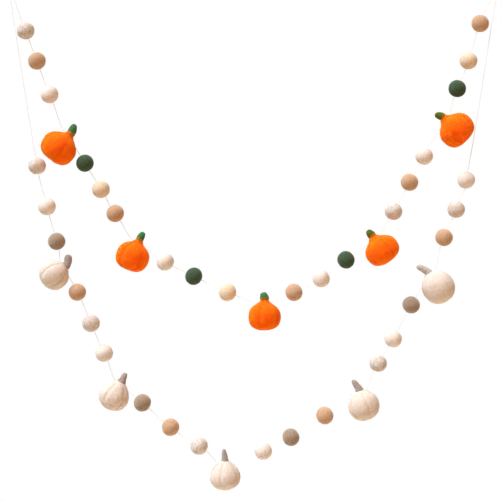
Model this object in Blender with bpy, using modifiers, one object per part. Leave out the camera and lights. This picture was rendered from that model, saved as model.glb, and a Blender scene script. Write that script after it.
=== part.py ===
"""Felt ball garland: two swags of felt balls and little felt pumpkins on cotton thread.

The garland hangs in the XZ plane, with its front towards -Y and +Z up. Both strands hang
from the same two hooks, and the origin is where the left hook bears in their loops.
Values are in metres, but the strands' tables are in millimetres and degrees.
"""
import math
from collections import namedtuple

import bmesh
import bpy
from mathutils import Vector

MM = 0.001

# Driving dimensions of the felt pieces.
BALL_WIDTH = 25 * MM
BALL_FLATNESS = 0.97
PIERCE_DEPTH = 5 * MM
PUMPKIN_LOBES = 5
CREASE_HALF_ANGLE = math.radians(13)

# Driving dimensions of the thread and of its knotted hanging loops.
THREAD_RADIUS = 0.45 * MM
HOLE_RADIUS = THREAD_RADIUS + 0.3 * MM
GAP = 0.3 * MM
LOOP_WIDTH = 7 * MM
LOOP_LEG_OFFSET = 0.65 * MM
KNOT_SIZE = Vector((2.4, 1.9, 2.7)) * MM

# How finely round shapes are cut into faces.
BALL_STEPS = 12
BALL_ARC_PARTS = 7
COLUMNS_PER_LOBE = 4
LOOP_PARTS = 10

# A pumpkin body from the stem's foot to its base: depth as a share of its height, and
# radius as a share of its half width. The first row is the rim of a small flat top. A
# necked body has a longer neck and a flatter base than a round one.
NECKED_BODY_PROFILE = [
    (0.00, 0.25),
    (0.09, 0.41),
    (0.17, 0.63),
    (0.28, 0.84),
    (0.42, 0.97),
    (0.57, 1.00),
    (0.72, 0.96),
    (0.85, 0.84),
    (0.94, 0.64),
    (1.00, 0.34),
]
ROUND_BODY_PROFILE = [
    (0.00, 0.25),
    (0.06, 0.43),
    (0.14, 0.65),
    (0.26, 0.86),
    (0.40, 0.97),
    (0.54, 1.00),
    (0.69, 0.95),
    (0.83, 0.80),
    (0.94, 0.54),
    (1.00, 0.24),
]
BODY_PROFILES = {"necked": NECKED_BODY_PROFILE, "round": ROUND_BODY_PROFILE}
# The depth of the base's middle, as a share of the height.
BASE_DIMPLE = 0.985
# How far each row of a body is drawn in by a crease, as a share of the full crease.
CREASE_FADE = [0.0, 0.5, 0.9, 1.0, 1.0, 1.0, 1.0, 0.95, 0.8, 0.4]

# A stem from its foot to its tip: place along the bend and radius as a share of its foot's.
# It first stands straight for the foot's length, and bends about a point this share of its
# own length above the foot.
GREEN_STEM_PROFILE = [(0.0, 1.0), (0.35, 1.0), (0.7, 0.92), (0.92, 0.68), (1.0, 0.36)]
GREY_STEM_PROFILE = [(0.0, 0.92), (0.25, 0.83), (0.6, 0.76), (0.9, 0.63), (1.0, 0.38)]
STEM_FOOT_LENGTH = 0.8 * MM
STEM_BEND_HEIGHT = 0.22

# The two hooks, across and down from the origin in millimetres.
LEFT_HOOK = (0.0, 0.0)
RIGHT_HOOK = (698.0, 0.0)

# What hangs on a strand, in order from left to right. Across is to the right and drop is
# down from the origin. A ball's place is its centre, and a pumpkin's is its stem's foot.
# A lean is to the right of straight up, and turn is where one crease stands, to the right
# of the front. A strand's depth is how far back it hangs, so that the loops of the two lie
# one behind the other on a hook.
Ball = namedtuple("Ball", "wool across drop")
Pumpkin = namedtuple("Pumpkin", "wool shape across drop lean width height turn crease "
                     "stem_lean stem_length stem_width")
Strand = namedtuple("Strand", "name depth loop_length stem_profile pieces")

UPPER = Strand("upper", -1.4, 14, GREEN_STEM_PROFILE, [
    Ball("oatmeal", 26.3, 71.7),
    Ball("tan", 42.4, 114.6),
    Ball("cream", 60.4, 162.3),
    Pumpkin("orange", "necked", 89.8, 218.0, 39, 51.5, 46.5, 20, 1.2, 25, 15, 12.5),
    Ball("green", 110.5, 259.7),
    Ball("sand", 133.2, 296.8),
    Ball("tan", 153.5, 331.0),
    Pumpkin("orange", "necked", 187.5, 369.0, 22, 47.5, 45, 38, 1.5, 31, 13, 11),
    Ball("cream", 224.4, 399.7),
    Ball("green", 264.9, 420.0),
    Ball("sand", 312.9, 443.0),
    Pumpkin("orange", "round", 365.3, 452.8, 1, 46.8, 43.5, -18, 1.5, -2, 10.5, 12.5),
    Ball("tan", 407.0, 442.9),
    Ball("cream", 445.5, 423.4),
    Ball("green", 480.9, 396.7),
    Pumpkin("orange", "necked", 518.3, 363.3, -35, 49, 43, 20, 1.2, -42, 11.5, 12.5),
    Ball("oatmeal", 548.2, 327.9),
    Ball("tan", 571.0, 286.7),
    Ball("cream", 591.8, 249.5),
    Pumpkin("orange", "necked", 618.9, 194.9, -47, 51, 46.5, -26, 1.2, -71, 12.5, 11.5),
    Ball("green", 638.8, 153.8),
    Ball("sand", 654.7, 114.3),
    Ball("tan", 671.3, 61.3),
])

LOWER = Strand("lower", 1.4, 22, GREY_STEM_PROFILE, [
    Ball("oatmeal", 42.2, 263.1),
    Ball("cream", 56.3, 321.3),
    Ball("taupe", 69.9, 370.6),
    Pumpkin("white", "round", 83.2, 405.0, 52, 42.5, 41, -33, 2.4, 15, 16, 12),
    Ball("tan", 99.4, 442.7),
    Ball("oatmeal", 118.8, 487.0),
    Ball("cream", 137.4, 529.4),
    Pumpkin("white", "round", 162.3, 570.1, 27, 43.5, 43, -28, 2.4, 25, 13.5, 12.5),
    Ball("taupe", 191.7, 599.8),
    Ball("tan", 231.8, 634.6),
    Ball("oatmeal", 272.4, 661.4),
    Pumpkin("white", "round", 308.9, 682.0, -1, 43.5, 41.5, -17, 1.5, -5, 16, 12),
    Ball("cream", 363.6, 668.4),
    Ball("taupe", 402.8, 648.8),
    Ball("tan", 450.9, 618.0),
    Pumpkin("white", "round", 500.1, 582.1, -16, 44.5, 43.5, 11, 1.8, -33, 16.5, 12),
    Ball("oatmeal", 526.7, 543.7),
    Ball("cream", 548.0, 508.8),
    Ball("taupe", 573.7, 460.8),
    Pumpkin("white", "round", 598.1, 415.3, -35, 46.5, 48, -36, 0.3, -60, 18.5, 12),
    Ball("tan", 620.3, 364.9),
    Ball("oatmeal", 637.5, 325.0),
    Ball("cream", 651.8, 283.3),
])

# Colours of the wool and the thread, as linear red, green and blue.
COLOURS = {
    "oatmeal": (0.66, 0.55, 0.46),
    "cream": (0.80, 0.66, 0.54),
    "tan": (0.61, 0.38, 0.24),
    "sand": (0.76, 0.56, 0.41),
    "green": (0.10, 0.13, 0.08),
    "taupe": (0.42, 0.31, 0.23),
    "orange": (0.95, 0.21, 0.02),
    "white": (0.84, 0.70, 0.58),
    "stem_green": (0.08, 0.17, 0.07),
    "stem_grey": (0.38, 0.31, 0.27),
    "thread": (0.80, 0.78, 0.74),
}


def clear_scene():
    """Removes whatever the opened file holds."""
    for item in list(bpy.data.objects):
        bpy.data.objects.remove(item, do_unlink=True)


def make_collection(name):
    """Adds a collection to the scene."""
    collection = bpy.data.collections.new(name)
    bpy.context.scene.collection.children.link(collection)
    return collection


def make_material(name, colour, roughness):
    """A plain material of one colour."""
    material = bpy.data.materials.new(name)
    material.use_nodes = True
    material.diffuse_color = (*colour, 1.0)
    shader = material.node_tree.nodes["Principled BSDF"]
    shader.inputs["Base Color"].default_value = (*colour, 1.0)
    shader.inputs["Roughness"].default_value = roughness
    shader.inputs["Metallic"].default_value = 0.0
    return material


def add_object(name, data, collection, material=None):
    """Adds an object with the given mesh or curve."""
    item = bpy.data.objects.new(name, data)
    collection.objects.link(item)
    if material is not None:
        data.materials.append(material)
    return item


def as_cutter(item):
    """Marks an object as a guide that only shapes others."""
    item.hide_render = True
    item.display_type = "WIRE"
    return item


def hanging_point(strand, across, drop):
    """The place in metres of a table's across and drop."""
    return Vector((across, strand.depth, -drop)) * MM


def lean_direction(degrees):
    """The unit vector that leans this far to the right of straight up."""
    angle = math.radians(degrees)
    return Vector((math.sin(angle), 0.0, math.cos(angle)))


def thread_point(strand, piece):
    """Where the thread goes through the middle of a piece."""
    place = hanging_point(strand, piece.across, piece.drop)
    if isinstance(piece, Ball):
        return place
    return place - lean_direction(piece.lean) * PIERCE_DEPTH


def strand_ends(strand):
    """Each end of a strand: the knot's centre and the way from there to the hook."""
    ends = []
    for hook, piece in ((LEFT_HOOK, strand.pieces[0]), (RIGHT_HOOK, strand.pieces[-1])):
        top = hanging_point(strand, *hook)
        upward = (top - thread_point(strand, piece)).normalized()
        ends.append((top - upward * strand.loop_length * MM, upward))
    return ends


def thread_directions(strand):
    """The way the thread points, left to right, in each piece of a strand."""
    (left_knot, _), (right_knot, _) = strand_ends(strand)
    stops = [left_knot] + [thread_point(strand, piece) for piece in strand.pieces] + [right_knot]
    directions = []
    for index, piece in enumerate(strand.pieces):
        direction = (stops[index + 2] - stops[index]).normalized()
        if isinstance(piece, Pumpkin):
            # The weight of a pumpkin turns its hole part of the way from the thread's line.
            across_body = lean_direction(piece.lean + 90)
            direction = (direction + across_body).normalized()
        directions.append(direction)
    return directions


def soft_curve(start, start_way, end, end_way, parts):
    """Points inside a smooth curve from start to end, both left out."""
    reach = (end - start).length / 3.0
    first, second = start + start_way * reach, end - end_way * reach
    points = []
    for part in range(1, parts):
        t = part / parts
        s = 1.0 - t
        points.append(start * s ** 3 + first * 3 * s * s * t + second * 3 * s * t * t + end * t ** 3)
    return points


def strand_run(strand):
    """The thread's centre line from knot to knot, straight inside each piece."""
    (left_knot, left_up), (right_knot, right_up) = strand_ends(strand)
    stations = [(left_knot, -left_up, "end")]
    for piece, way in zip(strand.pieces, thread_directions(strand)):
        middle = thread_point(strand, piece)
        half = BALL_WIDTH / 2 + GAP if isinstance(piece, Ball) else PIERCE_DEPTH
        stations.append((middle - way * half, way, "in"))
        stations.append((middle + way * half, way, piece.wool))
    stations.append((right_knot, right_up, "end"))
    points = [stations[0][0]]
    for before, after in zip(stations, stations[1:]):
        if after[2] != "in" and after[2] != "end":
            points.append(after[0])
            continue
        length = (after[0] - before[0]).length
        parts = 2 if length < 2 * BALL_WIDTH else 4
        points += soft_curve(before[0], before[1], after[0], after[1], parts)
        points.append(after[0])
    return points


def loop_points(strand, knot, upward):
    """A hanging loop's centre line, from the knot round the hook and back into the knot."""
    sideways = Vector((upward.z, 0.0, -upward.x))
    widest = max(math.sin(2 * math.pi * k / 100) * math.sin(math.pi * k / 100) for k in range(51))
    points = []
    for part in range(LOOP_PARTS + 1):
        turn = part / LOOP_PARTS
        along = (strand.loop_length * MM + THREAD_RADIUS) * (1 - math.cos(2 * math.pi * turn)) / 2
        swing = math.sin(2 * math.pi * turn) * math.sin(math.pi * turn) / widest
        aside = LOOP_WIDTH / 2 * swing + LOOP_LEG_OFFSET * math.cos(math.pi * turn)
        points.append(knot + upward * along + sideways * aside)
    return points


def make_tube(name, points, radius, collection, material=None):
    """A closed tube mesh along the points."""
    curve = bpy.data.curves.new(name, "CURVE")
    curve.dimensions = "3D"
    curve.bevel_depth = radius
    curve.bevel_resolution = 2
    curve.use_fill_caps = True
    spline = curve.splines.new("POLY")
    spline.points.add(len(points) - 1)
    for spot, point in zip(spline.points, points):
        spot.co = (*point, 1.0)
    guide = add_object(name + "_line", curve, collection)
    bpy.context.view_layer.update()
    mesh = bpy.data.meshes.new_from_object(guide.evaluated_get(bpy.context.evaluated_depsgraph_get()))
    mesh.name = name
    bpy.data.objects.remove(guide, do_unlink=True)
    shape = bmesh.new()
    shape.from_mesh(mesh)
    bmesh.ops.remove_doubles(shape, verts=shape.verts, dist=0.00001)
    bmesh.ops.recalc_face_normals(shape, faces=shape.faces)
    shape.to_mesh(mesh)
    shape.free()
    return add_object(name, mesh, collection, material)


def add_boolean(item, operation, tool):
    """Joins a tool to an object, or cuts it out."""
    change = item.modifiers.new(operation.lower() + "_" + tool.name, "BOOLEAN")
    change.operation = operation
    change.solver = "EXACT"
    change.object = tool


def make_knot(name, place, upward, collection):
    """A small round knot over the joined ends of a hanging loop."""
    shape = bmesh.new()
    bmesh.ops.create_uvsphere(shape, u_segments=8, v_segments=6, radius=1.0)
    for point in shape.verts:
        point.co = Vector((point.co.x * KNOT_SIZE.x, point.co.y * KNOT_SIZE.y, point.co.z * KNOT_SIZE.z))
    mesh = bpy.data.meshes.new(name)
    shape.to_mesh(mesh)
    shape.free()
    knot = as_cutter(add_object(name, mesh, collection))
    knot.location = place
    knot.rotation_euler = (0.0, math.atan2(upward.x, upward.z), 0.0)
    return knot


def make_thread(strand, material, parts, cutters):
    """A strand's thread with a knotted loop at each end, and the cutter of its holes."""
    (left_knot, left_up), (right_knot, right_up) = strand_ends(strand)
    run = strand_run(strand)
    left_loop = loop_points(strand, left_knot, left_up)
    right_loop = loop_points(strand, right_knot, right_up)
    route = left_loop[::-1] + run[1:-1] + right_loop
    thread = make_tube(strand.name + "_thread", route, THREAD_RADIUS, parts, material)
    thread.data.shade_smooth()
    for side, place, upward in (("left", left_knot, left_up), ("right", right_knot, right_up)):
        knot = make_knot(f"{strand.name}_{side}_knot", place, upward, cutters)
        add_boolean(thread, "UNION", knot)
    return as_cutter(make_tube(strand.name + "_hole_cutter", run, HOLE_RADIUS, cutters))


def ball_mesh(wool, material):
    """Half the outline of a pierced ball, closed down its hole, to be turned about Z."""
    radius = BALL_WIDTH / 2
    first = math.asin(HOLE_RADIUS / radius)
    points = []
    for part in range(BALL_ARC_PARTS + 1):
        angle = first + (math.pi - 2 * first) * part / BALL_ARC_PARTS
        height = radius * math.cos(angle) * BALL_FLATNESS
        points.append((radius * math.sin(angle), 0.0, height))
    edges = [(k, (k + 1) % len(points)) for k in range(len(points))]
    mesh = bpy.data.meshes.new("ball_outline_" + wool)
    mesh.from_pydata(points, edges, [])
    mesh.materials.append(material)
    return mesh


def make_ball(name, mesh, place, way, collection):
    """A felt ball whose hole lies along the thread."""
    ball = add_object(name, mesh, collection)
    ball.location = place
    ball.rotation_euler = way.to_track_quat("Z", "Y").to_euler()
    turning = ball.modifiers.new("turned", "SCREW")
    turning.axis = "Z"
    turning.angle = 2 * math.pi
    turning.steps = BALL_STEPS
    turning.render_steps = BALL_STEPS
    turning.merge_threshold = 0.0001
    return ball


def column_angle(column):
    """A body column's angle from a crease, with the columns beside each crease drawn close."""
    lobe, place = divmod(column, COLUMNS_PER_LOBE)
    lobe_width = 2 * math.pi / PUMPKIN_LOBES
    inside = (0.0, CREASE_HALF_ANGLE, lobe_width / 2, lobe_width - CREASE_HALF_ANGLE)
    return lobe * lobe_width + inside[place]


def pumpkin_mesh(name, piece):
    """A lobed body hanging from the origin, its flat top level with it."""
    profile = BODY_PROFILES[piece.shape]
    rows, columns = len(profile) + 1, PUMPKIN_LOBES * COLUMNS_PER_LOBE
    height, half_width = piece.height * MM, piece.width / 2 * MM
    front = math.radians(piece.turn - 90)
    shape = bmesh.new()
    bmesh.ops.create_uvsphere(shape, u_segments=columns, v_segments=rows, radius=1.0)
    for point in shape.verts:
        row = round(math.acos(max(-1.0, min(1.0, point.co.z))) / math.pi * rows)
        if row in (0, rows):
            point.co = Vector((0.0, 0.0, -height * BASE_DIMPLE if row else 0.0))
            continue
        down, out = profile[row - 1]
        column = round(math.atan2(point.co.y, point.co.x) / (2 * math.pi) * columns) % columns
        angle = front + column_angle(column)
        radius = half_width * out
        if column % COLUMNS_PER_LOBE == 0:
            radius -= piece.crease * MM * CREASE_FADE[row - 1]
        point.co = Vector((radius * math.cos(angle), radius * math.sin(angle), -height * down))
    mesh = bpy.data.meshes.new(name)
    shape.to_mesh(mesh)
    shape.free()
    mesh.shade_smooth()
    return mesh


def make_pumpkin(name, strand, piece, collection, material, hole_cutter):
    """A felt pumpkin body with the thread's hole through its neck."""
    body = add_object(name, pumpkin_mesh(name, piece), collection, material)
    body.location = hanging_point(strand, piece.across, piece.drop)
    body.rotation_euler = (0.0, math.radians(piece.lean), 0.0)
    add_boolean(body, "DIFFERENCE", hole_cutter)
    return body


def make_stem(name, strand, piece, collection, material):
    """A tapered stem that leaves the body square to its flat top and bends to its own lean."""
    curve = bpy.data.curves.new(name, "CURVE")
    curve.dimensions = "3D"
    curve.bevel_depth = piece.stem_width / 2 * MM
    curve.bevel_resolution = 2
    curve.use_fill_caps = True
    tip = lean_direction(piece.stem_lean - piece.lean) * piece.stem_length * MM
    foot = Vector((0.0, 0.0, STEM_FOOT_LENGTH))
    middle = Vector((0.0, 0.0, piece.stem_length * MM * STEM_BEND_HEIGHT))
    spline = curve.splines.new("POLY")
    spline.points.add(len(strand.stem_profile))
    spline.points[0].co = (0.0, 0.0, 0.0, 1.0)
    spline.points[0].radius = strand.stem_profile[0][1]
    for spot, (along, share) in zip(spline.points[1:], strand.stem_profile):
        back = 1.0 - along
        place = foot * back * back + middle * 2 * back * along + tip * along * along
        spot.co = (*place, 1.0)
        spot.radius = share
    stem = add_object(name, curve, collection, material)
    stem.location = hanging_point(strand, piece.across, piece.drop) + lean_direction(piece.lean) * GAP
    stem.rotation_euler = (0.0, math.radians(piece.lean), 0.0)
    return stem


def make_strand(strand, materials, parts, cutters):
    """All the pieces of one strand."""
    hole_cutter = make_thread(strand, materials["thread"], parts, cutters)
    stem_material = materials["stem_green" if strand.stem_profile is GREEN_STEM_PROFILE else "stem_grey"]
    wools = sorted({piece.wool for piece in strand.pieces if isinstance(piece, Ball)})
    outlines = {wool: ball_mesh(wool, materials[wool]) for wool in wools}
    balls = pumpkins = 0
    for piece, way in zip(strand.pieces, thread_directions(strand)):
        if isinstance(piece, Ball):
            balls += 1
            name = f"{strand.name}_ball_{balls:02d}_{piece.wool}"
            make_ball(name, outlines[piece.wool], thread_point(strand, piece), way, parts)
        else:
            pumpkins += 1
            wool = materials[piece.wool]
            make_pumpkin(f"{strand.name}_pumpkin_{pumpkins}", strand, piece, parts, wool, hole_cutter)
            make_stem(f"{strand.name}_stem_{pumpkins}", strand, piece, parts, stem_material)


def main():
    clear_scene()
    parts = make_collection("felt_ball_garland")
    cutters = make_collection("cutters")
    materials = {name: make_material(name, colour, 0.9) for name, colour in COLOURS.items()}
    for strand in (UPPER, LOWER):
        make_strand(strand, materials, parts, cutters)
    bpy.context.view_layer.update()


main()
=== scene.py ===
"""Felt ball garland: needle-felted wool balls and pumpkins on twisted cotton thread.

The garland hangs in the XZ plane with its front towards -Y. Both strands hang from the same
two hooks, and the origin is where the left hook bears in their loops. Values are in metres,
but the strands' tables are in millimetres and degrees.
"""
import math
import random
from collections import namedtuple

import bmesh
import bpy
from mathutils import Matrix, Quaternion, Vector, noise
from mathutils.bvhtree import BVHTree


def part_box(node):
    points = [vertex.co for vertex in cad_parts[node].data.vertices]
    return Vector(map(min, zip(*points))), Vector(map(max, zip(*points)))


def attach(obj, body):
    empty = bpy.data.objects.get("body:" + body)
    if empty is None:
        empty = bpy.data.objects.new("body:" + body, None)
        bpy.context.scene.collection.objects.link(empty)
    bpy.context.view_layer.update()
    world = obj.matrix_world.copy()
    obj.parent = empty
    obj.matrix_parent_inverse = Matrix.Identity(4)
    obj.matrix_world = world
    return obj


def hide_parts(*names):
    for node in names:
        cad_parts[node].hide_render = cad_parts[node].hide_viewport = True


MM = 0.001

# The view: how many pixels wide the photograph is, and a pixel's size in millimetres at the
# garland.
FRAME_PIXELS = 502
PIXEL_SIZE = 1.42
FRAME_WIDTH = FRAME_PIXELS * PIXEL_SIZE * MM
VIEW_CENTRE = Vector((346.1, 0.0, -384.2)) * MM
LENS = 100.0
SENSOR_WIDTH = 36.0

# The two hooks, in millimetres across and down from the origin.
LEFT_HOOK = (0.0, 0.0)
RIGHT_HOOK = (698.0, 0.0)

# The thread. Its plies make its radius rise and fall by a share of itself.
THREAD_RADIUS = 0.45 * MM
THREAD_PLIES = 3
PLY_RISE = 0.2
THREAD_SIDES = 9
THREAD_TWIST_LENGTH = 4.2 * MM
THREAD_RING_STEP = 0.35 * MM
CURVE_PARTS = 10

# The hanging loops, whose widest place is looked for in so many steps, and the knots with
# their cut tails.
LOOP_WIDTH = 7 * MM
LOOP_LEG_OFFSET = 0.65 * MM
LOOP_PARTS = 48
LOOP_TRIALS = 100
KNOT_REACH = Vector((1.75, 1.3, 2.0)) * MM
KNOT_PARTS = 90
TAIL_START = 0.4 * MM
TAIL_LENGTH = 5 * MM
TAIL_PARTS = 13

# The felt pieces.
BALL_RADIUS = 12.5 * MM
BALL_FLATNESS = 0.97
BALL_SUBDIVISIONS = 5
GAP = 0.3 * MM
PIERCE_DEPTH = 5 * MM
PIERCE_DIMPLE_DEPTH = 0.7 * MM
PIERCE_DIMPLE_WIDTH = 1.5 * MM
PUMPKIN_LOBES = 5
LOBE_COLUMNS = 26
LOBE_COLUMN_CROWDING = 0.75
BODY_ROWS = 74
STEM_ROWS = 34
STEM_COLUMNS = 40
STEM_FOOT_LENGTH = 0.8 * MM
STEM_BEND_HEIGHT = 0.22

# Steps between two points of a smooth outline, and the least length that a step is held to be.
OUTLINE_PARTS = 12
SHORTEST_STEP = 1e-12

# Relief of the wool, from slow lumps to small tufts: size and depth of each.
BALL_RELIEF = [(11 * MM, 0.3 * MM), (4 * MM, 0.13 * MM), (1.5 * MM, 0.09 * MM)]
BODY_RELIEF = [(15 * MM, 0.5 * MM), (5 * MM, 0.25 * MM), (1.8 * MM, 0.12 * MM)]
STEM_RELIEF = [(6 * MM, 0.4 * MM), (2.2 * MM, 0.22 * MM)]

# Stray fibres on the wool. Each rises from it with a power of its length and grows thinner by
# a share towards its tip.
FIBRE_WIDTH = 0.04 * MM
FIBRE_STEPS = 3
FIBRE_LENGTH = (1.5 * MM, 5.0 * MM)
FIBRE_LIFT = (0.1 * MM, 0.8 * MM)
FIBRE_RISE_POWER = 1.4
FIBRE_CURL = 0.9
FIBRE_TAPER = 0.6
BALL_FIBRES = 550
BODY_FIBRES = 1900
STEM_FIBRES = 260

# A body from the stem's foot to its base: depth as a share of its height and radius as a
# share of its half width. A necked body has a longer neck and a flatter base, and a sloping
# one has narrower shoulders than a round one.
NECKED_BODY = [(0.0, 0.0), (0.0, 0.16), (0.02, 0.25), (0.095, 0.38), (0.175, 0.61), (0.28, 0.83),
               (0.42, 0.97), (0.57, 1.0), (0.72, 0.96), (0.85, 0.84), (0.94, 0.64), (0.995, 0.34),
               (0.985, 0.12), (0.97, 0.0)]
ROUND_BODY = [(0.0, 0.0), (0.0, 0.16), (0.015, 0.27), (0.06, 0.43), (0.14, 0.65), (0.26, 0.86),
              (0.40, 0.97), (0.54, 1.0), (0.69, 0.95), (0.83, 0.80), (0.94, 0.54), (0.995, 0.26),
              (0.985, 0.1), (0.975, 0.0)]
SLOPING_BODY = [(0.0, 0.0), (0.0, 0.16), (0.015, 0.27), (0.06, 0.40), (0.14, 0.585), (0.26, 0.79),
                (0.40, 0.94), (0.54, 1.0), (0.69, 0.965), (0.83, 0.82), (0.94, 0.55), (0.995, 0.26),
                (0.985, 0.1), (0.975, 0.0)]
BODIES = {"necked": NECKED_BODY, "round": ROUND_BODY, "sloping": SLOPING_BODY}

# A stem from its skirt to its tip: place along it and radius as a share of its foot's, before
# the taper that each stem has of its own.
GREEN_STEM = [(-0.16, 0.88), (-0.08, 0.99), (0.04, 1.02), (0.2, 1.0), (0.38, 0.98), (0.56, 0.93),
              (0.74, 0.82), (0.89, 0.63), (0.97, 0.38), (1.0, 0.0)]
GREY_STEM = [(-0.13, 0.9), (-0.07, 1.0), (0.0, 0.98), (0.08, 0.95), (0.2, 0.94), (0.4, 0.96),
             (0.65, 0.98), (0.85, 0.93), (0.95, 0.73), (1.0, 0.4), (1.01, 0.0)]

# How unevenly a body is felted: the share by which its radius changes round it, and the angle
# in radians by which its creases wander, in so many waves from top to base.
PLUMPNESS_CHANGE = 0.02
CREASE_WANDER = 0.09
CREASE_WANDER_WAVES = 2.2

# Creases rise from the neck and fall towards the base, each over a share of the height, and
# would end at a share just below the base. Near both ends they also grow with the radius.
CREASE_RISE = 0.14
CREASE_FALL = 0.2
CREASE_END = 1.06
CREASE_GROWTH = 1.6

# The depth in millimetres from which a crease has its full groove, lips and painted shade, how
# fast they fade in a shallower one, the lips' distance from its middle and the reach of the
# painted shade in the groove, both in widths of the groove.
SHARP_CREASE = 1.5
SHARPNESS_POWER = 1.5
LIP_PLACE = 2.2
GROOVE_SHADE_REACH = 1.6

# How a wool's creases look: share of the crease's depth that shows and its valley's width,
# depth and width of the groove in it, height of its lips, and the strength and colour of the
# painted shade put in the groove.
Crease = namedtuple("Crease", "valley_share valley_width groove_depth groove_width lip_height "
                    "strength colour")
CREASES = {
    "orange": Crease(1.0, 4.2 * MM, 0.22 * MM, 1.1 * MM, 0.0, 0.45, (0.82, 0.085, 0.001)),
    "white": Crease(0.62, 2.8 * MM, 0.22 * MM, 0.9 * MM, 0.1 * MM, 0.35, (0.62, 0.50, 0.39)),
}

# Where the pumpkins hang and how they are shaped. Across is to the right and drop is down
# from the origin, to the stem's foot. A lean is to the right of straight up, and turn is
# where one crease stands, to the right of the front. A stem's taper is the share of its width
# that it loses towards its tip, beyond what its outline loses. The stem's values are on the
# second line.
Pumpkin = namedtuple("Pumpkin", "wool shape across drop lean width height turn crease "
                     "stem_lean stem_length stem_width stem_taper stem_wool")
Strand = namedtuple("Strand", "name depth loop_length stem_slot stem_outline pumpkins")

UPPER = Strand("upper", -1.4, 14, "stem_green", GREEN_STEM, [
    Pumpkin("orange", "necked", 89.8, 218.0, 39, 51.5, 46.5, 20, 1.2,
            25, 15, 12.5, 0.0, "stem_green"),
    Pumpkin("orange", "necked", 187.5, 369.0, 22, 47.5, 45, 38, 1.5,
            31, 13, 11, 0.0, "stem_green"),
    Pumpkin("orange", "necked", 365.3, 452.8, 1, 46.8, 43.5, -18, 1.5,
            -13, 10.0, 12.8, 0.0, "stem_green"),
    Pumpkin("orange", "necked", 518.3, 363.3, -35, 49, 43, 20, 1.2,
            -42, 10.8, 12, 0.0, "stem_olive"),
    Pumpkin("orange", "necked", 618.9, 194.9, -47, 51, 46.5, -26, 1.2,
            -71, 12.5, 11.5, 0.0, "stem_olive"),
])
LOWER = Strand("lower", 1.4, 22, "stem_grey", GREY_STEM, [
    Pumpkin("white", "round", 83.2, 405.0, 52, 42.5, 41, -33, 2.1,
            12, 15.5, 12, 0.08, "stem_grey"),
    Pumpkin("white", "sloping", 162.3, 570.1, 27, 42.5, 43, -28, 2.0,
            25, 13.5, 12.5, 0.45, "stem_grey"),
    Pumpkin("white", "sloping", 308.9, 682.0, -1, 43.5, 41.5, -17, 1.5,
            -5, 16, 10.8, 0.42, "stem_grey"),
    Pumpkin("white", "round", 500.1, 582.1, -16, 44.5, 43.5, 11, 1.8,
            -35, 17, 12, 0.42, "stem_grey"),
    Pumpkin("white", "round", 598.1, 415.3, -35, 46.5, 48, -36, 0.3,
            -60, 18.5, 11.8, 0.33, "stem_pale"),
])

# How far red, green and blue light spread in orange wool, in pale wools and in darker ones.
ORANGE_REACH = (20 * MM, 1.0 * MM, 0.3 * MM)
PALE_REACH = (5 * MM, 4 * MM, 3 * MM)
DARK_REACH = (2.0 * MM, 1.4 * MM, 1.0 * MM)

# The wools: linear colour, how strongly it is mottled, how strong its flecks are and their
# colour, how much of the light goes into it, how far that spreads, and how strong its sheen
# is. The sheen has a paler tint of the wool's colour.
Wool = namedtuple("Wool", "colour mottling flecks fleck_colour glow reach sheen")
WOOLS = {
    "oatmeal": Wool((0.75, 0.75, 0.72), 0.40, 0.50, (0.42, 0.35, 0.28), 0.35, PALE_REACH, 0.15),
    "cream": Wool((0.79, 0.74, 0.68), 0.12, 0.0, (0.66, 0.54, 0.43), 0.35, PALE_REACH, 0.05),
    "tan": Wool((0.58, 0.397, 0.255), 0.25, 0.25, (0.42, 0.24, 0.14), 0.25, DARK_REACH, 0.65),
    "sand": Wool((0.80, 0.68, 0.52), 0.20, 0.20, (0.60, 0.43, 0.28), 0.35, PALE_REACH, 0.05),
    "green": Wool((0.056, 0.106, 0.061), 0.30, 0.15, (0.04, 0.06, 0.03), 0.2, DARK_REACH, 0.5),
    "taupe": Wool((0.36, 0.29, 0.215), 0.28, 0.30, (0.26, 0.19, 0.14), 0.2, DARK_REACH, 1.0),
    "orange": Wool((1.0, 0.18, 0.001), 0.15, 0.6, (1.0, 0.05, 0.001), 0.9, ORANGE_REACH, 0.3),
    "white": Wool((0.752, 0.70, 0.634), 0.20, 0.30, (0.64, 0.50, 0.39), 0.35, PALE_REACH, 0.05),
    "stem_green": Wool((0.055, 0.23, 0.080), 0.35, 0.4, (0.05, 0.10, 0.02), 0.2, DARK_REACH, 0.5),
    "stem_olive": Wool((0.10, 0.165, 0.018), 0.35, 0.5, (0.09, 0.07, 0.01), 0.2, DARK_REACH, 0.5),
    "stem_grey": Wool((0.40, 0.37, 0.345), 0.28, 0.3, (0.3, 0.26, 0.23), 0.2, DARK_REACH, 0.45),
    "stem_pale": Wool((0.53, 0.52, 0.48), 0.25, 0.3, (0.42, 0.37, 0.33), 0.2, DARK_REACH, 0.45),
}

# Orange wool that runs up into a green stem's foot in patches: its mesh layer, share and
# colour, and the part of the stem's length over which it fades.
FOOT_BLEND = ("foot", 0.8, (0.66, 0.19, 0.01))
FOOT_BLEND_HEIGHT = 0.4
PATCH_STRENGTH = 2.0

# How many finer layers of noise a plain texture adds, and how many a fine one adds.
PLAIN_DETAIL = 2
FINE_DETAIL = 3

# The wool's fine pattern. Its fibres run in three ways, each a turn and a stretch of the
# place, and they drift aside over a distance.
DRIFT_SIZE = 2.4 * MM
DRIFT_REACH = 1.4 * MM
FIBRE_WAYS = [((0.6, 0.3, 0.2), (1.0, 0.14, 1.0)),
              ((-0.5, 1.1, 2.0), (0.14, 1.0, 1.0)),
              ((1.3, -0.4, 0.9), (1.0, 1.0, 0.14))]
FIBRE_SIZE = 0.32 * MM
FLECK_SIZE = 0.8 * MM
GRAIN_SIZE = 0.5 * MM
MOTTLE_SIZE = 3.0 * MM

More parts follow.
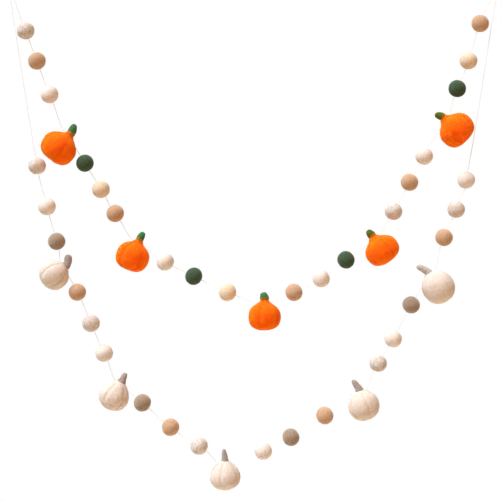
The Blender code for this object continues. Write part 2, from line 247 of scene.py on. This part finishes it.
# What the mottling and the fibres add to the tone, the range of it that goes from the dark
# shade to the light one, the range over which flecks come in, and what the fibres and the
# grain add to the bumps.
MOTTLE_IN_TONE = 1.3
FIBRES_IN_TONE = 0.35
TONE_RANGE = (0.45, 1.25)
LIGHT_SHADE_SHARE = 0.5
FLECK_RANGE = (0.54, 0.72)
FIBRES_IN_BUMP = 0.5
GRAIN_IN_BUMP = 0.8
BUMP_STRENGTH = 0.5
WOOL_BUMP = 0.3 * MM
WOOL_SURFACE = {"Roughness": 0.95, "Specular IOR Level": 0.15, "Sheen Roughness": 0.5,
                "Subsurface Scale": 1.0}

# A darker shade is richer: the powers that red, green and blue have in it.
SHADE_POWERS = (0.45, 0.95, 1.45)

# The cotton: linear colour, its dark and light shades, its grain and bumps, and how far light
# spreads in it.
THREAD_COLOUR = (0.96, 0.97, 0.99)
THREAD_SHADES = (0.9, 1.08)
THREAD_GRAIN_SIZE = 0.18 * MM
THREAD_GRAIN_RANGE = (0.3, 0.7)
THREAD_BUMP = 0.06 * MM
THREAD_REACH = 0.6 * MM
THREAD_SURFACE = {"Roughness": 0.85, "Sheen Weight": 0.2, "Subsurface Weight": 0.8,
                  "Subsurface Scale": 1.0}

# The light of the room in front of the garland and behind it, how far round it turns from one
# to the other, and its strength at a height below and above.
ROOM_FRONT = (0.46, 0.29, 0.165)
ROOM_BACK = (0.95, 0.95, 0.95)
ROOM_TURN = 0.6
ROOM_HEIGHTS = (-0.7, 0.7)
ROOM_STRENGTHS = (0.4, 1.1)

# The lamps: name, the way towards each, its strength, its spread in degrees and its colour.
LAMPS = [("key", (-0.42, -0.36, 0.83), 4.4, 40, (0.93, 1.0, 1.12)),
         ("fill", (0.50, -0.60, -0.62), 1.0, 60, (1.0, 0.62, 0.34))]

# The pale floor below the garland.
FLOOR_RADIUS = 1.3
FLOOR_HEIGHT = -1.6
FLOOR_PARTS = 96
FLOOR_COLOUR = (0.84, 0.74, 0.62)
FLOOR_ROUGHNESS = 0.9


def hanging_point(strand, across, drop):
    """The place in metres of a table's across and drop."""
    return Vector((across, strand.depth, -drop)) * MM


def lean_direction(degrees):
    """The unit vector that leans this far to the right of straight up."""
    angle = math.radians(degrees)
    return Vector((math.sin(angle), 0.0, math.cos(angle)))


def hung_pieces(strand, nodes):
    """What hangs on a strand from left to right: (place on the thread, node name, pumpkin)."""
    pieces = []
    for node in nodes:
        if node.startswith(strand.name + "_ball_"):
            lowest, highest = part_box(node)
            pieces.append(((lowest + highest) / 2, node, None))
    for number, pumpkin in enumerate(strand.pumpkins, 1):
        foot = hanging_point(strand, pumpkin.across, pumpkin.drop)
        place = foot - lean_direction(pumpkin.lean) * PIERCE_DEPTH
        pieces.append((place, f"{strand.name}_pumpkin_{number}", pumpkin))
    return sorted(pieces, key=lambda piece: piece[0].x)


def strand_ends(strand, pieces):
    """Each end of a strand: the knot's centre and the way from there to the hook."""
    ends = []
    for hook, piece in ((LEFT_HOOK, pieces[0]), (RIGHT_HOOK, pieces[-1])):
        top = hanging_point(strand, *hook)
        upward = (top - piece[0]).normalized()
        ends.append((top - upward * strand.loop_length * MM, upward))
    return ends


def thread_directions(strand, pieces):
    """The way the thread points, left to right, in each piece of a strand."""
    (left_knot, _), (right_knot, _) = strand_ends(strand, pieces)
    stops = [left_knot] + [place for place, _, _ in pieces] + [right_knot]
    directions = []
    for index, (_, _, pumpkin) in enumerate(pieces):
        direction = (stops[index + 2] - stops[index]).normalized()
        if pumpkin:
            direction = (direction + lean_direction(pumpkin.lean + 90)).normalized()
        directions.append(direction)
    return directions


def soft_curve(start, start_way, end, end_way, parts):
    """Points inside a smooth curve from start to end, both left out."""
    reach = (end - start).length / 3.0
    first, second = start + start_way * reach, end - end_way * reach
    points = []
    for part in range(1, parts):
        t = part / parts
        s = 1.0 - t
        points.append(start * s ** 3 + first * 3 * s * s * t
                      + second * 3 * s * t * t + end * t ** 3)
    return points


def strand_run(strand, pieces):
    """The thread's centre line from knot to knot, straight inside each piece."""
    (left_knot, left_up), (right_knot, right_up) = strand_ends(strand, pieces)
    stations = [(left_knot, -left_up, False)]
    for (middle, _, pumpkin), way in zip(pieces, thread_directions(strand, pieces)):
        half = PIERCE_DEPTH if pumpkin else BALL_RADIUS + GAP
        stations.append((middle - way * half, way, False))
        stations.append((middle + way * half, way, True))
    stations.append((right_knot, right_up, False))
    points = [left_knot]
    for before, after in zip(stations, stations[1:]):
        is_inside = after[2]
        if not is_inside:
            points += soft_curve(before[0], before[1], after[0], after[1], CURVE_PARTS)
        points.append(after[0])
    return points


def loop_points(strand, knot, upward):
    """A hanging loop's centre line, from the knot round the hook and back into the knot."""
    sideways = Vector((upward.z, 0.0, -upward.x))
    widest = max(math.sin(2 * math.pi * k / LOOP_TRIALS) * math.sin(math.pi * k / LOOP_TRIALS)
                 for k in range(LOOP_TRIALS // 2 + 1))
    points = []
    for part in range(LOOP_PARTS + 1):
        turn = part / LOOP_PARTS
        along = (strand.loop_length * MM + THREAD_RADIUS) * (1 - math.cos(2 * math.pi * turn)) / 2
        swing = math.sin(2 * math.pi * turn) * math.sin(math.pi * turn) / widest
        aside = LOOP_WIDTH / 2 * swing + LOOP_LEG_OFFSET * math.cos(math.pi * turn)
        points.append(knot + upward * along + sideways * aside)
    return points


def even_points(points, count):
    """Count points at even steps along a line of points."""
    lengths = [0.0]
    for before, after in zip(points, points[1:]):
        lengths.append(lengths[-1] + (after - before).length)
    made = []
    stretch = 0
    for index in range(count):
        wanted = lengths[-1] * index / (count - 1)
        while stretch < len(points) - 2 and lengths[stretch + 1] < wanted:
            stretch += 1
        width = max(lengths[stretch + 1] - lengths[stretch], SHORTEST_STEP)
        share = min(1.0, (wanted - lengths[stretch]) / width)
        made.append(points[stretch].lerp(points[stretch + 1], share))
    return made


def smooth_outline(outline, count):
    """Count (along, radius) vectors at even steps of a smooth curve through an outline."""
    stops = [Vector(stop) for stop in outline]
    stops = [stops[0]] + stops + [stops[-1]]
    fine = []
    for a, b, c, d in zip(stops, stops[1:], stops[2:], stops[3:]):
        for part in range(OUTLINE_PARTS):
            t = part / OUTLINE_PARTS
            fine.append(0.5 * (2 * b + (c - a) * t + (2 * a - 5 * b + 4 * c - d) * t * t
                               + (3 * b - a - 3 * c + d) * t ** 3))
    fine.append(stops[-1])
    return even_points(fine, count)


def line_length(points):
    """The length of a line of points."""
    return sum((after - before).length for before, after in zip(points, points[1:]))


def felt_relief(place, relief):
    """How far the wool stands proud at a place."""
    return sum(depth * noise.noise(place / size) for size, depth in relief)


def pierce_dimple(place, middle, way):
    """How far a place is drawn in beside the thread that goes through the middle."""
    aside = (place - middle).cross(way).length
    return PIERCE_DIMPLE_DEPTH * math.exp(-(aside / PIERCE_DIMPLE_WIDTH) ** 2)


def add_loft(shape, rings, start=None, end=None):
    """Skins a row of closed rings, and closes an end to a point where one is given."""
    made = [[shape.verts.new(place) for place in ring] for ring in rings]
    for before, after in zip(made, made[1:]):
        for k in range(len(before)):
            shape.faces.new((before[k - 1], before[k], after[k], after[k - 1]))
    for tip, ring, is_start in ((start, made[0], True), (end, made[-1], False)):
        if tip is None:
            continue
        point = shape.verts.new(tip)
        for k in range(len(ring)):
            first, second = (ring[k], ring[k - 1]) if is_start else (ring[k - 1], ring[k])
            shape.faces.new((first, second, point))
    return made


def add_fuzz(shape, count, rng):
    """Stray fibres: each starts in the surface, curls along it and ends just off it."""
    shape.normal_update()
    tree = BVHTree.FromBMesh(shape)
    faces = shape.faces[:]
    areas = [face.calc_area() for face in faces]
    for face in rng.choices(faces, weights=areas, k=count):
        place, normal = face.calc_center_median(), face.normal.copy()
        heading = Quaternion(normal, rng.uniform(0, 2 * math.pi)) @ normal.orthogonal().normalized()
        step = rng.uniform(*FIBRE_LENGTH) / FIBRE_STEPS
        lift = rng.uniform(*FIBRE_LIFT)
        curl = rng.uniform(-FIBRE_CURL, FIBRE_CURL)
        tilt = rng.uniform(0, math.pi)
        edge = []
        for part in range(FIBRE_STEPS + 1):
            share = part / FIBRE_STEPS
            middle = place + normal * (lift * share ** FIBRE_RISE_POWER - FIBRE_WIDTH)
            thinned = 1 - FIBRE_TAPER * share
            across = Quaternion(heading, tilt) @ normal * FIBRE_WIDTH * thinned / 2
            edge.append((shape.verts.new(middle - across), shape.verts.new(middle + across)))
            place, normal, _, _ = tree.find_nearest(place + heading * step)
            heading = Quaternion(normal, curl) @ heading
            heading = (heading - normal * heading.dot(normal)).normalized()
        for before, after in zip(edge, edge[1:]):
            shape.faces.new((before[0], before[1], after[1], after[0]))


def add_piece(name, shape, material, slot, *nodes):
    """Puts a shape in the scene as a piece that stands for the given CAD nodes."""
    mesh = bpy.data.meshes.new(name)
    shape.to_mesh(mesh)
    shape.free()
    mesh.shade_smooth()
    mesh.materials.append(material)
    piece = bpy.data.objects.new(name, mesh)
    bpy.context.scene.collection.objects.link(piece)
    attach(piece, "root")
    if nodes:
        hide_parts(*nodes)
    return piece


def make_ball(node, wool, middle, way, material, rng):
    """A felt ball, a little flat along its thread and dimpled where the thread goes in."""
    shape = bmesh.new()
    bmesh.ops.create_icosphere(shape, subdivisions=BALL_SUBDIVISIONS, radius=1.0)
    for point in shape.verts:
        out = point.co.normalized()
        place = middle + out * BALL_RADIUS
        radius = BALL_RADIUS + felt_relief(place, BALL_RELIEF) - pierce_dimple(place, middle, way)
        flattening = way * (out.dot(way) * (1 - BALL_FLATNESS))
        point.co = middle + (out - flattening) * radius
    add_fuzz(shape, BALL_FIBRES, rng)
    add_piece(node + "_felt", shape, material, wool, node)


def lobe_columns():
    """(angle, share of half a lobe to the nearest crease) of each column round a body."""
    half = math.pi / PUMPKIN_LOBES
    columns = []
    for lobe in range(PUMPKIN_LOBES):
        for column in range(LOBE_COLUMNS):
            t = 2 * column / LOBE_COLUMNS - 1
            offset = t + LOBE_COLUMN_CROWDING * math.sin(math.pi * t) / math.pi
            columns.append(((2 * lobe + 1 + offset) * half, 1 - abs(offset)))
    return columns


def crease_fade(down):
    """How strong the creases are at a depth down the body: none at the neck, less at the base."""
    rising = min(1.0, down / CREASE_RISE)
    falling = min(1.0, max(0.0, CREASE_END - down) / CREASE_FALL)
    return rising * falling


def crease_sharpness(piece):
    """How sharply a body's creases are drawn in: hardly at all where they are shallow."""
    return min(1.0, piece.crease / SHARP_CREASE) ** SHARPNESS_POWER


def crease_relief(piece, aside, fade):
    """How far the surface stands proud at a distance from a crease's middle."""
    look = CREASES[piece.wool]
    valley = look.valley_share * piece.crease * MM * math.exp(-(aside / look.valley_width) ** 2)
    groove = look.groove_depth * math.exp(-(aside / look.groove_width) ** 2)
    from_lip = aside - LIP_PLACE * look.groove_width
    lip = look.lip_height * math.exp(-(from_lip / look.groove_width) ** 2)
    return fade * (crease_sharpness(piece) * (lip - groove) - valley)


def make_body(node, strand, piece, middle, way, material, rng):
    """A lobed pumpkin body that hangs from its stem's foot."""
    foot = hanging_point(strand, piece.across, piece.drop)
    stand = Matrix.Translation(foot) @ Matrix.Rotation(math.radians(piece.lean), 4, "Y")
    height, half_width = piece.height * MM, piece.width / 2 * MM
    front = math.radians(piece.turn - 90)
    stops = [(down * height, out * half_width) for down, out in BODIES[piece.shape]]
    outline = smooth_outline(stops, BODY_ROWS)
    columns = lobe_columns()
    seed = Vector((piece.across, piece.drop, 0.0))
    shade_reach = GROOVE_SHADE_REACH * CREASES[piece.wool].groove_width
    shape = bmesh.new()
    # The crease layer holds how much painted shade each point of a groove gets.
    layer = shape.verts.layers.float.new("crease")
    rings = []
    creases = []
    for down, out in outline[1:-1]:
        share = down / height
        fade = crease_fade(share)
        grown = fade * min(1.0, out / half_width * CREASE_GROWTH)
        waves = Vector((0.0, 0.0, share * CREASE_WANDER_WAVES))
        wander = CREASE_WANDER * noise.noise(seed + waves)
        ring = []
        for angle, apart in columns:
            aside = apart * math.pi / PUMPKIN_LOBES * out
            turned = front + angle + wander
            around = Vector((math.cos(angle), math.sin(angle), 0.0))
            plumpness = 1 + PLUMPNESS_CHANGE * noise.noise(seed + around)
            radius = out * plumpness + crease_relief(piece, aside, grown)
            place = stand @ Vector((radius * math.cos(turned), radius * math.sin(turned), -down))
            outward = (place - stand @ Vector((0.0, 0.0, -height / 2))).normalized()
            place += outward * felt_relief(place, BODY_RELIEF)
            place -= (place - middle).normalized() * pierce_dimple(place, middle, way)
            ring.append(place)
            # Painted shade in the groove, strongest at its middle.
            creases.append(fade * crease_sharpness(piece) * math.exp(-(aside / shade_reach) ** 2))
        rings.append(ring)
    top = stand @ Vector((0.0, 0.0, 0.0))
    base = stand @ Vector((0.0, 0.0, -outline[-1].x))
    made = add_loft(shape, rings, top, base)
    for point, depth in zip((point for ring in made for point in ring), creases):
        point[layer] = depth
    bmesh.ops.recalc_face_normals(shape, faces=shape.faces)
    add_fuzz(shape, BODY_FIBRES, rng)
    add_piece(node + "_felt", shape, material, piece.wool, node)


def make_stem(node, strand, piece, material, rng):
    """A felt stem with a small skirt over the body's neck, bent to its own lean."""
    foot = hanging_point(strand, piece.across, piece.drop) + lean_direction(piece.lean) * GAP
    stand = Matrix.Translation(foot) @ Matrix.Rotation(math.radians(piece.lean), 4, "Y")
    start = Vector((0.0, 0.0, STEM_FOOT_LENGTH))
    length, half_width = piece.stem_length * MM, piece.stem_width / 2 * MM
    bend = Vector((0.0, 0.0, length * STEM_BEND_HEIGHT))
    tip = lean_direction(piece.stem_lean - piece.lean) * length
    stops = []
    for along, share in strand.stem_outline:
        tapered = share * (1 - piece.stem_taper * max(0.0, along))
        stops.append((along * length, tapered * half_width))
    outline = smooth_outline(stops, STEM_ROWS)
    shape = bmesh.new()
    layer = shape.verts.layers.float.new("foot")
    rings = []
    middles = []
    for along, radius in outline:
        t = along / length
        if t < 0:
            middle, way = start + Vector((0.0, 0.0, along)), Vector((0.0, 0.0, 1.0))
        else:
            middle = start * (1 - t) ** 2 + bend * 2 * (1 - t) * t + tip * t * t
            way = ((bend - start) * (1 - t) + (tip - bend) * t).normalized()
        across = Vector((0.0, 1.0, 0.0))
        side = across.cross(way).normalized()
        middles.append(stand @ middle)
        ring = []
        for column in range(STEM_COLUMNS):
            angle = 2 * math.pi * column / STEM_COLUMNS
            out = side * math.cos(angle) + across * math.sin(angle)
            place = stand @ (middle + out * radius)
            outward = (place - middles[-1]).normalized()
            ring.append(place + outward * felt_relief(place, STEM_RELIEF))
        rings.append(ring)
    made = add_loft(shape, rings[:-1], middles[0], middles[-1])
    for (along, _), ring in zip(outline, made):
        for point in ring:
            point[layer] = max(0.0, 1 - max(0.0, along) / (FOOT_BLEND_HEIGHT * length))
    bmesh.ops.recalc_face_normals(shape, faces=shape.faces)
    add_fuzz(shape, STEM_FIBRES, rng)
    add_piece(node + "_felt", shape, material, strand.stem_slot, node)


def add_twisted_tube(shape, points, radius):
    """A tube of twisted plies along evenly spaced points."""
    up = Vector((0.0, 1.0, 0.0))
    rings = []
    travelled = 0.0
    for index, point in enumerate(points):
        before, after = points[max(0, index - 1)], points[min(len(points) - 1, index + 1)]
        way = (after - before).normalized()
        side = up.cross(way).normalized()
        lift = way.cross(side)
        if index:
            travelled += (point - points[index - 1]).length
        turned = 2 * math.pi * travelled / THREAD_TWIST_LENGTH
        ring = []
        for corner in range(THREAD_SIDES):
            angle = 2 * math.pi * corner / THREAD_SIDES
            out = radius * (1 - PLY_RISE + PLY_RISE * math.cos(THREAD_PLIES * angle))
            outward = side * math.cos(angle + turned) + lift * math.sin(angle + turned)
            ring.append(point + outward * out)
        rings.append(ring)
    add_loft(shape, rings, points[0], points[-1])


def make_thread(strand, pieces, material):
    """A strand's twisted thread with its loops and knots."""
    (left_knot, left_up), (right_knot, right_up) = strand_ends(strand, pieces)
    run = strand_run(strand, pieces)
    left_loop = loop_points(strand, left_knot, left_up)
    right_loop = loop_points(strand, right_knot, right_up)
    route = left_loop[::-1] + run[1:-1] + right_loop
    length = line_length(route)
    path = even_points(route, round(length / THREAD_RING_STEP) + 1)
    shape = bmesh.new()
    add_twisted_tube(shape, path, THREAD_RADIUS)
    bmesh.ops.recalc_face_normals(shape, faces=shape.faces)
    node = strand.name + "_thread"
    thread = add_piece(node + "_cotton", shape, material, "thread", node)
    knots = [make_knot(f"{strand.name}_left_knot", left_knot, left_up, material),
             make_knot(f"{strand.name}_right_knot", right_knot, right_up, material)]


def make_knot(name, place, upward, material):
    """An overhand knot of the same thread with a short cut tail."""
    side = Vector((upward.z, 0.0, -upward.x))
    across = Vector((0.0, 1.0, 0.0))
    points = []
    for part in range(KNOT_PARTS):
        t = 2 * math.pi * part / KNOT_PARTS
        x = (math.sin(t) + 2 * math.sin(2 * t)) / 3
        z = (math.cos(t) - 2 * math.cos(2 * t)) / 3
        y = -math.sin(3 * t)
        points.append(place + side * x * KNOT_REACH.x + across * y * KNOT_REACH.y
                      + upward * z * KNOT_REACH.z)
    tail_way = (side - upward).normalized()
    tail = [points[-1] + (points[-1] - points[-2]).normalized() * TAIL_START]
    for _ in range(TAIL_PARTS):
        tail.append(tail[-1] + tail_way * TAIL_LENGTH / TAIL_PARTS)
    shape = bmesh.new()
    add_twisted_tube(shape, points + tail, THREAD_RADIUS)
    bmesh.ops.recalc_face_normals(shape, faces=shape.faces)
    return add_piece(name, shape, material, "thread")


def add_texture(tree, place, size, detail, kind="FBM"):
    """A noise texture of a feature size, read at a place."""
    texture = tree.nodes.new("ShaderNodeTexNoise")
    texture.noise_type = kind
    texture.inputs["Scale"].default_value = 1 / size
    texture.inputs["Detail"].default_value = detail
    tree.links.new(place, texture.inputs["Vector"])
    return texture


def add_math(tree, operation, first, second):
    """The result of one sum, product or maximum of two sockets or numbers."""
    step = tree.nodes.new("ShaderNodeMath")
    step.operation = operation
    for value, socket in zip((first, second), step.inputs):
        if isinstance(value, (int, float)):
            socket.default_value = value
        else:
            tree.links.new(value, socket)
    return step.outputs["Value"]


def add_stretch(tree, place, turn, stretch):
    """The place turned and drawn out, so that a texture read there runs along one way."""
    mapping = tree.nodes.new("ShaderNodeMapping")
    mapping.inputs["Rotation"].default_value = turn
    mapping.inputs["Scale"].default_value = stretch
    tree.links.new(place, mapping.inputs["Vector"])
    return mapping.outputs["Vector"]


def add_mix(tree, share, first, second):
    """A mix of two colours, each a socket or linear values."""
    mix = tree.nodes.new("ShaderNodeMix")
    mix.data_type = "RGBA"
    tree.links.new(share, mix.inputs["Factor"])
    for value, name in ((first, "A"), (second, "B")):
        socket = next(s for s in mix.inputs if s.name == name and s.type == "RGBA")
        if isinstance(value, tuple):
            socket.default_value = (*value, 1.0)
        else:
            tree.links.new(value, socket)
    return next(s for s in mix.outputs if s.type == "RGBA")


def clamp_range(tree, value, low, high, to_low, to_high):
    """A value moved from one range to another and kept inside it."""
    step = tree.nodes.new("ShaderNodeMapRange")
    tree.links.new(value, step.inputs["Value"])
    step.inputs["From Min"].default_value = low
    step.inputs["From Max"].default_value = high
    step.inputs["To Min"].default_value = to_low
    step.inputs["To Max"].default_value = to_high
    return step.outputs["Result"]


def add_bump(tree, shader, height, distance):
    """Fine bumps on a shader's surface, from a height."""
    bump = tree.nodes.new("ShaderNodeBump")
    bump.inputs["Strength"].default_value = BUMP_STRENGTH
    bump.inputs["Distance"].default_value = distance
    tree.links.new(height, bump.inputs["Height"])
    tree.links.new(bump.outputs["Normal"], shader.inputs["Normal"])


def set_surface(shader, surface):
    """Gives a shader's inputs their values by name."""
    for name, value in surface.items():
        shader.inputs[name].default_value = value


def shade_of(colour, amount):
    """A linear colour made lighter or darker by an amount, and richer where darker."""
    return tuple(min(1.0, channel * amount ** power)
                 for channel, power in zip(colour, SHADE_POWERS))


def add_drift(tree, place):
    """The place moved a little aside here and there, so that fibres read there bend."""
    drift = add_texture(tree, place, DRIFT_SIZE, PLAIN_DETAIL).outputs["Color"]
    bend = tree.nodes.new("ShaderNodeVectorMath")
    bend.operation = "MULTIPLY_ADD"
    tree.links.new(drift, bend.inputs[0])
    bend.inputs[1].default_value = (DRIFT_REACH, DRIFT_REACH, DRIFT_REACH)
    tree.links.new(place, bend.inputs[2])
    return bend.outputs["Vector"]


def wool_colour(tree, wool, mottle, fibres, ways):
    """A wool's colour, mottled between a dark and a light shade, with flecks along two ways."""
    tone = add_math(tree, "ADD", add_math(tree, "MULTIPLY", mottle, MOTTLE_IN_TONE),
                    add_math(tree, "MULTIPLY", fibres, FIBRES_IN_TONE))
    tone = clamp_range(tree, tone, *TONE_RANGE, 0.0, 1.0)
    dark = shade_of(wool.colour, 1 - wool.mottling)
    light = shade_of(wool.colour, 1 + LIGHT_SHADE_SHARE * wool.mottling)
    colour = add_mix(tree, tone, dark, light)
    specks = [add_texture(tree, way, FLECK_SIZE, PLAIN_DETAIL).outputs["Fac"] for way in ways[:2]]
    flecks = add_math(tree, "MAXIMUM", *specks)
    flecks = clamp_range(tree, flecks, *FLECK_RANGE, 0.0, wool.flecks)
    return add_mix(tree, flecks, colour, wool.fleck_colour)


def add_shade_and_blend(tree, colour, mottle, shade_and_blend):
    """Painted shade in creases or orange wool in a stem's foot, mixed in where a layer says so."""
    layer, share, shade = shade_and_blend
    edge = tree.nodes.new("ShaderNodeAttribute")
    edge.attribute_name = layer
    amount = add_math(tree, "MULTIPLY", edge.outputs["Fac"], share)
    if layer == "foot":
        patches = add_math(tree, "MULTIPLY", mottle, PATCH_STRENGTH)
        amount = add_math(tree, "MULTIPLY", amount, patches)
    return add_mix(tree, amount, colour, shade)


def felt_material(name, wool, shade_and_blend=None):
    """Needle-felted wool: mottled colour, crossing fibres and a soft sheen."""
    material = bpy.data.materials.new(name)
    material.use_nodes = True
    tree = material.node_tree
    shader = tree.nodes["Principled BSDF"]
    place = tree.nodes.new("ShaderNodeTexCoord").outputs["Object"]
    bent = add_drift(tree, place)
    ways = [add_stretch(tree, bent, turn, stretch) for turn, stretch in FIBRE_WAYS]
    runs = [add_texture(tree, way, FIBRE_SIZE, PLAIN_DETAIL, "RIDGED_MULTIFRACTAL") for way in ways]
    fibres = runs[0].outputs["Fac"]
    for run in runs[1:]:
        fibres = add_math(tree, "MAXIMUM", fibres, run.outputs["Fac"])
    mottle = add_texture(tree, place, MOTTLE_SIZE, FINE_DETAIL).outputs["Fac"]
    grain = add_texture(tree, bent, GRAIN_SIZE, FINE_DETAIL).outputs["Fac"]

    colour = wool_colour(tree, wool, mottle, fibres, ways)
    if shade_and_blend:
        colour = add_shade_and_blend(tree, colour, mottle, shade_and_blend)
    tree.links.new(colour, shader.inputs["Base Color"])
    height = add_math(tree, "ADD", add_math(tree, "MULTIPLY", fibres, FIBRES_IN_BUMP),
                      add_math(tree, "MULTIPLY", grain, GRAIN_IN_BUMP))
    add_bump(tree, shader, height, WOOL_BUMP)
    set_surface(shader, WOOL_SURFACE)
    tint = tuple(math.sqrt(channel) for channel in wool.colour)
    shader.inputs["Sheen Weight"].default_value = wool.sheen
    shader.inputs["Sheen Tint"].default_value = (*tint, 1.0)
    shader.inputs["Subsurface Weight"].default_value = wool.glow
    shader.inputs["Subsurface Radius"].default_value = wool.reach
    return material


def cotton_material():
    """Twisted off-white cotton: a random grain, with painted shade where it lies low between
    fibres.
    """
    material = bpy.data.materials.new("cotton_thread")
    material.use_nodes = True
    tree = material.node_tree
    shader = tree.nodes["Principled BSDF"]
    place = tree.nodes.new("ShaderNodeTexCoord").outputs["Object"]
    grain = add_texture(tree, place, THREAD_GRAIN_SIZE, FINE_DETAIL).outputs["Fac"]
    # The grain also lowers the bumps, so its dark shade is painted shade between the fibres.
    tone = clamp_range(tree, grain, *THREAD_GRAIN_RANGE, 0.0, 1.0)
    dark, light = (shade_of(THREAD_COLOUR, amount) for amount in THREAD_SHADES)
    tree.links.new(add_mix(tree, tone, dark, light), shader.inputs["Base Color"])
    add_bump(tree, shader, grain, THREAD_BUMP)
    set_surface(shader, THREAD_SURFACE)
    shader.inputs["Subsurface Radius"].default_value = (THREAD_REACH, THREAD_REACH, THREAD_REACH)
    return material


def wool_materials():
    """A material for each wool, with painted shade in creases and orange wool in a stem's foot."""
    materials = {}
    for name, wool in WOOLS.items():
        edge = None
        if name in CREASES:
            # Creases get painted shade in their grooves.
            edge = ("crease", CREASES[name].strength, CREASES[name].colour)
        if name in ("stem_green", "stem_olive"):
            edge = FOOT_BLEND
        materials[name] = felt_material("felt_" + name, wool, edge)
    return materials


def make_strand(strand, nodes, materials, cotton):
    """All the pieces of one strand."""
    pieces = hung_pieces(strand, nodes)
    make_thread(strand, pieces, cotton)
    rng = random.Random(strand.name)
    for (middle, node, pumpkin), way in zip(pieces, thread_directions(strand, pieces)):
        if pumpkin is None:
            wool = node.split("_")[-1]
            make_ball(node, wool, middle, way, materials[wool], rng)
            continue
        make_body(node, strand, pumpkin, middle, way, materials[pumpkin.wool], rng)
        stem_node = node.replace("pumpkin", "stem")
        make_stem(stem_node, strand, pumpkin, materials[pumpkin.stem_wool], rng)


def make_camera():
    """A camera straight in front, with the photograph's frame at the garland's depth."""
    data = bpy.data.cameras.new("camera")
    data.lens = LENS
    data.sensor_width = SENSOR_WIDTH
    camera = bpy.data.objects.new("camera", data)
    bpy.context.scene.collection.objects.link(camera)
    camera.location = VIEW_CENTRE - Vector((0.0, FRAME_WIDTH * LENS / SENSOR_WIDTH, 0.0))
    camera.rotation_euler = (math.radians(90), 0.0, 0.0)
    bpy.context.scene.camera = camera


def make_light(name, toward, strength, spread, colour):
    """A soft lamp far off in one direction, which lights the whole garland evenly."""
    data = bpy.data.lights.new(name, "SUN")
    data.energy = strength
    data.angle = math.radians(spread)
    data.color = colour
    light = bpy.data.objects.new(name, data)
    bpy.context.scene.collection.objects.link(light)
    light.rotation_euler = Vector(toward).to_track_quat("Z", "Y").to_euler()


def make_studio():
    """A white studio: bright behind the garland, dim and warm in front of it."""
    world = bpy.data.worlds.new("studio")
    bpy.context.scene.world = world
    world.use_nodes = True
    tree = world.node_tree
    tree.nodes.clear()
    direction = tree.nodes.new("ShaderNodeTexCoord").outputs["Generated"]
    parts = tree.nodes.new("ShaderNodeSeparateXYZ")
    tree.links.new(direction, parts.inputs["Vector"])
    behind = clamp_range(tree, parts.outputs["Y"], 0.0, ROOM_TURN, 0.0, 1.0)
    strength = clamp_range(tree, parts.outputs["Z"], *ROOM_HEIGHTS, *ROOM_STRENGTHS)
    room = tree.nodes.new("ShaderNodeBackground")
    tree.links.new(add_mix(tree, behind, ROOM_FRONT, ROOM_BACK), room.inputs["Color"])
    tree.links.new(strength, room.inputs["Strength"])
    backdrop = tree.nodes.new("ShaderNodeBackground")
    backdrop.inputs["Color"].default_value = (1.0, 1.0, 1.0, 1.0)
    seen = tree.nodes.new("ShaderNodeLightPath").outputs["Is Camera Ray"]
    mix = tree.nodes.new("ShaderNodeMixShader")
    tree.links.new(seen, mix.inputs["Fac"])
    tree.links.new(room.outputs["Background"], mix.inputs[1])
    tree.links.new(backdrop.outputs["Background"], mix.inputs[2])
    output = tree.nodes.new("ShaderNodeOutputWorld")
    tree.links.new(mix.outputs["Shader"], output.inputs["Surface"])


def make_floor():
    """A round pale floor below the garland."""
    shape = bmesh.new()
    bmesh.ops.create_circle(shape, cap_ends=True, segments=FLOOR_PARTS, radius=FLOOR_RADIUS)
    mesh = bpy.data.meshes.new("floor")
    shape.to_mesh(mesh)
    shape.free()
    floor = bpy.data.objects.new("floor", mesh)
    bpy.context.scene.collection.objects.link(floor)
    floor.location = (VIEW_CENTRE.x, 0.0, FLOOR_HEIGHT)
    material = bpy.data.materials.new("pale_floor")
    material.use_nodes = True
    shader = material.node_tree.nodes["Principled BSDF"]
    shader.inputs["Base Color"].default_value = (*FLOOR_COLOUR, 1.0)
    shader.inputs["Roughness"].default_value = FLOOR_ROUGHNESS
    mesh.materials.append(material)


def set_colour_handling():
    """Plain display of colours, so that white stays white."""
    settings = bpy.context.scene.view_settings
    settings.view_transform = "Standard"
    settings.look = "None"


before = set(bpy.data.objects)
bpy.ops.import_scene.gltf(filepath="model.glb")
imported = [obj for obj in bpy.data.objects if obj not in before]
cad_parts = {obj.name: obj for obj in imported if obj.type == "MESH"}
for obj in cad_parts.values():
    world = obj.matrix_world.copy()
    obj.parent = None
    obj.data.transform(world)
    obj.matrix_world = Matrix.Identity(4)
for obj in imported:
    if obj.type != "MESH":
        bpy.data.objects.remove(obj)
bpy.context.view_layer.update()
make_camera()
make_studio()
make_floor()
set_colour_handling()
for lamp in LAMPS:
    make_light(*lamp)
wools = wool_materials()
cotton = cotton_material()
for each_strand in (UPPER, LOWER):
    make_strand(each_strand, sorted(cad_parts), wools, cotton)
